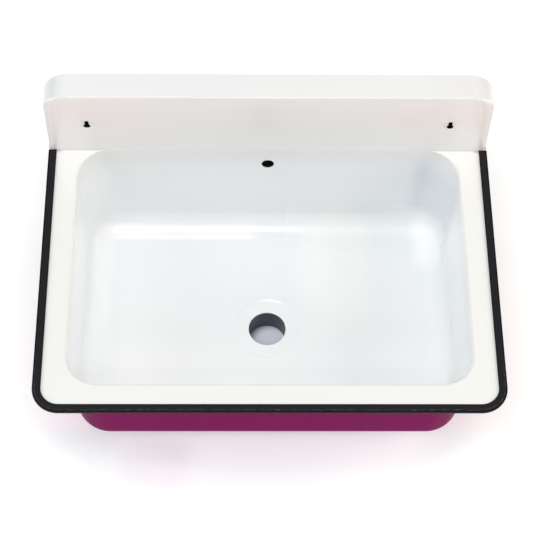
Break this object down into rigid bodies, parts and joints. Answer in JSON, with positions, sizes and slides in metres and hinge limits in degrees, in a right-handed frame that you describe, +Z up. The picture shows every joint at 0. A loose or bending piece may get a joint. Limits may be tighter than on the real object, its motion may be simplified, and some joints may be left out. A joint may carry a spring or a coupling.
{
  "type": "bucket sink",
  "caption": "Wall-hung bucket sink of enamelled steel: rectangular bowl with an outlet, flat rim with black edge trim, and a backsplash with keyholes.",
  "frame": {"origin": "middle of the backsplash's top edge, where that edge meets the wall", "axes": "+Y into the wall, +Z up, +X along the wall to the right of someone who faces the sink"},
  "size_m": [0.7006, 0.5096, 0.388],
  "materials": {
    "white_enamel": "glossy white vitreous enamel on steel",
    "magenta_enamel": "glossy magenta vitreous enamel on steel",
    "ground_enamel": "satin dark blue-grey ground enamel on steel",
    "trim": "satin black extruded trim"
  },
  "bodies": {
    "root": {"bowl": "white_enamel", "backsplash": "white_enamel", "outer_coat": "magenta_enamel", "outlet_neck": "ground_enamel", "edge_trim": "trim"}
  },
  "joints": []
}
